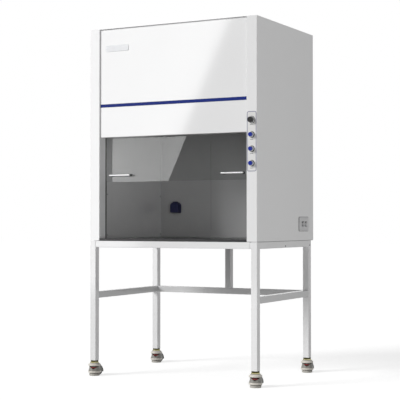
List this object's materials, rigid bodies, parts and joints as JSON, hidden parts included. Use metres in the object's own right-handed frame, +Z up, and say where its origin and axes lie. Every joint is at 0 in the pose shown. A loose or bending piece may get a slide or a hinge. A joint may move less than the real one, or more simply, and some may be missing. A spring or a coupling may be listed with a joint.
{
  "type": "fume hood",
  "caption": "Ducted fume hood on a four-legged stand with levelling casters, vertical counterbalanced glass sash, control strip and top exhaust collar.",
  "frame": {"origin": "on the floor, below the middle of the hood's box", "axes": "+Z up, -Y out of the front, +X to the right of someone facing the front from outside"},
  "size_m": [1.18, 0.8792, 2.2],
  "materials": {
    "white_paint": "semi-gloss white epoxy powder coat",
    "blue_band": "gloss blue vinyl",
    "badge": "blank white moulded plate",
    "worktop": "satin black phenolic board",
    "liner": "gloss grey compact laminate",
    "glass": "clear toughened glass",
    "handle": "polished chrome",
    "aluminium": "mill finish",
    "steel": "plain steel",
    "guide": "black polyethylene",
    "black_plastic": "black moulded plastic",
    "blue_plastic": "gloss blue moulded plastic",
    "socket_blue": "blue-black moulded plastic",
    "overlay": "pale grey polyester film",
    "lens": "opal diffuser",
    "zinc": "yellow passivated zinc",
    "caster_cream": "cream-grey painted die-casting",
    "caster_foot": "grey moulded rubber",
    "red_plastic": "red moulded plastic",
    "black_wheel": "black nylon"
  },
  "bodies": {
    "cabinet": {"stand_legs": "white_paint", "stand_top_rails": "white_paint", "stand_lower_rails": "white_paint", "fasteners": "steel", "column_left": "white_paint", "column_right": "white_paint", "front_panel": "white_paint", "front_stripe": "blue_band", "badge_plate": "badge", "top_panel": "white_paint", "rear_panel": "white_paint", "exhaust_collar": "white_paint", "worktop": "worktop", "side_liners": "liner", "ceiling_panel": "liner", "baffle": "liner", "lamp_housing": "white_paint", "lamp_diffuser": "lens", "blower_enclosure": "white_paint", "blower_scroll": "aluminium", "blower_motor": "steel", "sash_guides": "guide", "pulley_brackets": "steel", "control_overlay": "overlay", "button_bezels": "handle", "switch_blocks": "black_plastic", "wall_socket_base": "socket_blue", "side_socket": "white_paint", "mains_gland": "black_plastic", "caster_mounts": "zinc", "sash_cables": "steel"},
    "sash": {"sash_glass": "glass", "sash_top_rail": "aluminium", "sash_handles": "handle"},
    "counterweight_left": {"counterweight_left": "steel"},
    "counterweight_right": {"counterweight_right": "steel"},
    "pulley_left": {"pulley_left": "guide"},
    "pulley_right": {"pulley_right": "guide"},
    "impeller": {"impeller": "aluminium"},
    "speed_knob": {"speed_knob": "black_plastic"},
    "button_upper": {"button_upper": "blue_plastic"},
    "button_middle": {"button_middle": "blue_plastic"},
    "button_lower": {"button_lower": "blue_plastic"},
    "socket_cover": {"wall_socket_cover": "socket_blue"},
    "caster_front_left_housing": {"caster_front_left_housing": "caster_cream"},
    "caster_front_left_wheel": {"caster_front_left_wheel": "black_wheel"},
    "caster_front_left_thumbwheel": {"caster_front_left_thumbwheel": "red_plastic"},
    "caster_front_left_foot": {"caster_front_left_foot": "caster_foot"},
    "caster_rear_left_housing": {"caster_rear_left_housing": "caster_cream"},
    "caster_rear_left_wheel": {"caster_rear_left_wheel": "black_wheel"},
    "caster_rear_left_thumbwheel": {"caster_rear_left_thumbwheel": "red_plastic"},
    "caster_rear_left_foot": {"caster_rear_left_foot": "caster_foot"},
    "caster_front_right_housing": {"caster_front_right_housing": "caster_cream"},
    "caster_front_right_wheel": {"caster_front_right_wheel": "black_wheel"},
    "caster_front_right_thumbwheel": {"caster_front_right_thumbwheel": "red_plastic"},
    "caster_front_right_foot": {"caster_front_right_foot": "caster_foot"},
    "caster_rear_right_housing": {"caster_rear_right_housing": "caster_cream"},
    "caster_rear_right_wheel": {"caster_rear_right_wheel": "black_wheel"},
    "caster_rear_right_thumbwheel": {"caster_rear_right_thumbwheel": "red_plastic"},
    "caster_rear_right_foot": {"caster_rear_right_foot": "caster_foot"}
  },
  "joints": [
    {"name": "sash_slide", "type": "slide", "parent": "cabinet", "child": "sash", "axis": [0, 0, 1], "range_m": [-0.345, 0.215], "deforming": ["sash_cables"]},
    {"name": "counterweight_left_slide", "type": "slide", "parent": "cabinet", "child": "counterweight_left", "axis": [0, 0, 1], "range_m": [-0.215, 0.345]},
    {"name": "pulley_left_turn", "type": "hinge", "parent": "cabinet", "child": "pulley_left", "pos_m": [-0.537, -0.2998, 2.075], "axis": [-1, 0, 0], "range_deg": [-523.4, 326.4]},
    {"name": "counterweight_right_slide", "type": "slide", "parent": "cabinet", "child": "counterweight_right", "axis": [0, 0, 1], "range_m": [-0.215, 0.345]},
    {"name": "pulley_right_turn", "type": "hinge", "parent": "cabinet", "child": "pulley_right", "pos_m": [0.537, -0.2998, 2.075], "axis": [-1, 0, 0], "range_deg": [-523.4, 326.4]},
    {"name": "impeller_spin", "type": "hinge", "parent": "cabinet", "child": "impeller", "pos_m": [0.115, 0.0844, 1.753], "axis": [0, 1, 0], "continuous": true},
    {"name": "speed_knob_turn", "type": "hinge", "parent": "cabinet", "child": "speed_knob", "pos_m": [0.5365, -0.4136, 1.534], "axis": [0, -1, 0], "range_deg": [-150, 150]},
    {"name": "button_upper_press", "type": "slide", "parent": "cabinet", "child": "button_upper", "axis": [0, 1, 0], "range_m": [0, 0.0035], "stiffness_N_per_m": 500, "springref_m": -0.004},
    {"name": "button_middle_press", "type": "slide", "parent": "cabinet", "child": "button_middle", "axis": [0, 1, 0], "range_m": [0, 0.0035], "stiffness_N_per_m": 500, "springref_m": -0.004},
    {"name": "button_lower_press", "type": "slide", "parent": "cabinet", "child": "button_lower", "axis": [0, 1, 0], "range_m": [0, 0.0035], "stiffness_N_per_m": 500, "springref_m": -0.004},
    {"name": "socket_cover_swing", "type": "hinge", "parent": "cabinet", "child": "socket_cover", "pos_m": [-0.382, 0.32225, 1.0777], "axis": [-1, 0, 0], "range_deg": [0, 100]},
    {"name": "caster_front_left_swivel", "type": "hinge", "parent": "cabinet", "child": "caster_front_left_housing", "pos_m": [-0.55, -0.3936, 0.084], "axis": [0, 0, 1], "continuous": true},
    {"name": "caster_front_left_roll", "type": "hinge", "parent": "caster_front_left_housing", "child": "caster_front_left_wheel", "pos_m": [-0.55, -0.3396, 0.022], "axis": [1, 0, 0], "continuous": true},
    {"name": "caster_front_left_thumb", "type": "hinge", "parent": "caster_front_left_housing", "child": "caster_front_left_thumbwheel", "pos_m": [-0.55, -0.3936, 0.052], "axis": [0, 0, 1], "range_deg": [0, 1234]},
    {"name": "caster_front_left_lift", "type": "slide", "parent": "caster_front_left_housing", "child": "caster_front_left_foot", "axis": [0, 0, 1], "range_m": [0, 0.006]},
    {"name": "caster_rear_left_swivel", "type": "hinge", "parent": "cabinet", "child": "caster_rear_left_housing", "pos_m": [-0.55, 0.3604, 0.084], "axis": [0, 0, 1], "continuous": true},
    {"name": "caster_rear_left_roll", "type": "hinge", "parent": "caster_rear_left_housing", "child": "caster_rear_left_wheel", "pos_m": [-0.55, 0.4144, 0.022], "axis": [1, 0, 0], "continuous": true},
    {"name": "caster_rear_left_thumb", "type": "hinge", "parent": "caster_rear_left_housing", "child": "caster_rear_left_thumbwheel", "pos_m": [-0.55, 0.3604, 0.052], "axis": [0, 0, 1], "range_deg": [0, 1234]},
    {"name": "caster_rear_left_lift", "type": "slide", "parent": "caster_rear_left_housing", "child": "caster_rear_left_foot", "axis": [0, 0, 1], "range_m": [0, 0.006]},
    {"name": "caster_front_right_swivel", "type": "hinge", "parent": "cabinet", "child": "caster_front_right_housing", "pos_m": [0.55, -0.3936, 0.084], "axis": [0, 0, 1], "continuous": true},
    {"name": "caster_front_right_roll", "type": "hinge", "parent": "caster_front_right_housing", "child": "caster_front_right_wheel", "pos_m": [0.55, -0.3396, 0.022], "axis": [1, 0, 0], "continuous": true},
    {"name": "caster_front_right_thumb", "type": "hinge", "parent": "caster_front_right_housing", "child": "caster_front_right_thumbwheel", "pos_m": [0.55, -0.3936, 0.052], "axis": [0, 0, 1], "range_deg": [0, 1234]},
    {"name": "caster_front_right_lift", "type": "slide", "parent": "caster_front_right_housing", "child": "caster_front_right_foot", "axis": [0, 0, 1], "range_m": [0, 0.006]},
    {"name": "caster_rear_right_swivel", "type": "hinge", "parent": "cabinet", "child": "caster_rear_right_housing", "pos_m": [0.55, 0.3604, 0.084], "axis": [0, 0, 1], "continuous": true},
    {"name": "caster_rear_right_roll", "type": "hinge", "parent": "caster_rear_right_housing", "child": "caster_rear_right_wheel", "pos_m": [0.55, 0.4144, 0.022], "axis": [1, 0, 0], "continuous": true},
    {"name": "caster_rear_right_thumb", "type": "hinge", "parent": "caster_rear_right_housing", "child": "caster_rear_right_thumbwheel", "pos_m": [0.55, 0.3604, 0.052], "axis": [0, 0, 1], "range_deg": [0, 1234]},
    {"name": "caster_rear_right_lift", "type": "slide", "parent": "caster_rear_right_housing", "child": "caster_rear_right_foot", "axis": [0, 0, 1], "range_m": [0, 0.006]}
  ],
  "couplings": [
    {"joint": "counterweight_left_slide", "follows": "sash_slide", "ratio": -1},
    {"joint": "pulley_left_turn", "follows": "sash_slide", "rad_per_m": 26.455},
    {"joint": "counterweight_right_slide", "follows": "sash_slide", "ratio": -1},
    {"joint": "pulley_right_turn", "follows": "sash_slide", "rad_per_m": 26.455},
    {"joint": "caster_front_left_lift", "follows": "caster_front_left_thumb", "m_per_rad": 0.00027852},
    {"joint": "caster_rear_left_lift", "follows": "caster_rear_left_thumb", "m_per_rad": 0.00027852},
    {"joint": "caster_front_right_lift", "follows": "caster_front_right_thumb", "m_per_rad": 0.00027852},
    {"joint": "caster_rear_right_lift", "follows": "caster_rear_right_thumb", "m_per_rad": 0.00027852}
  ]
}
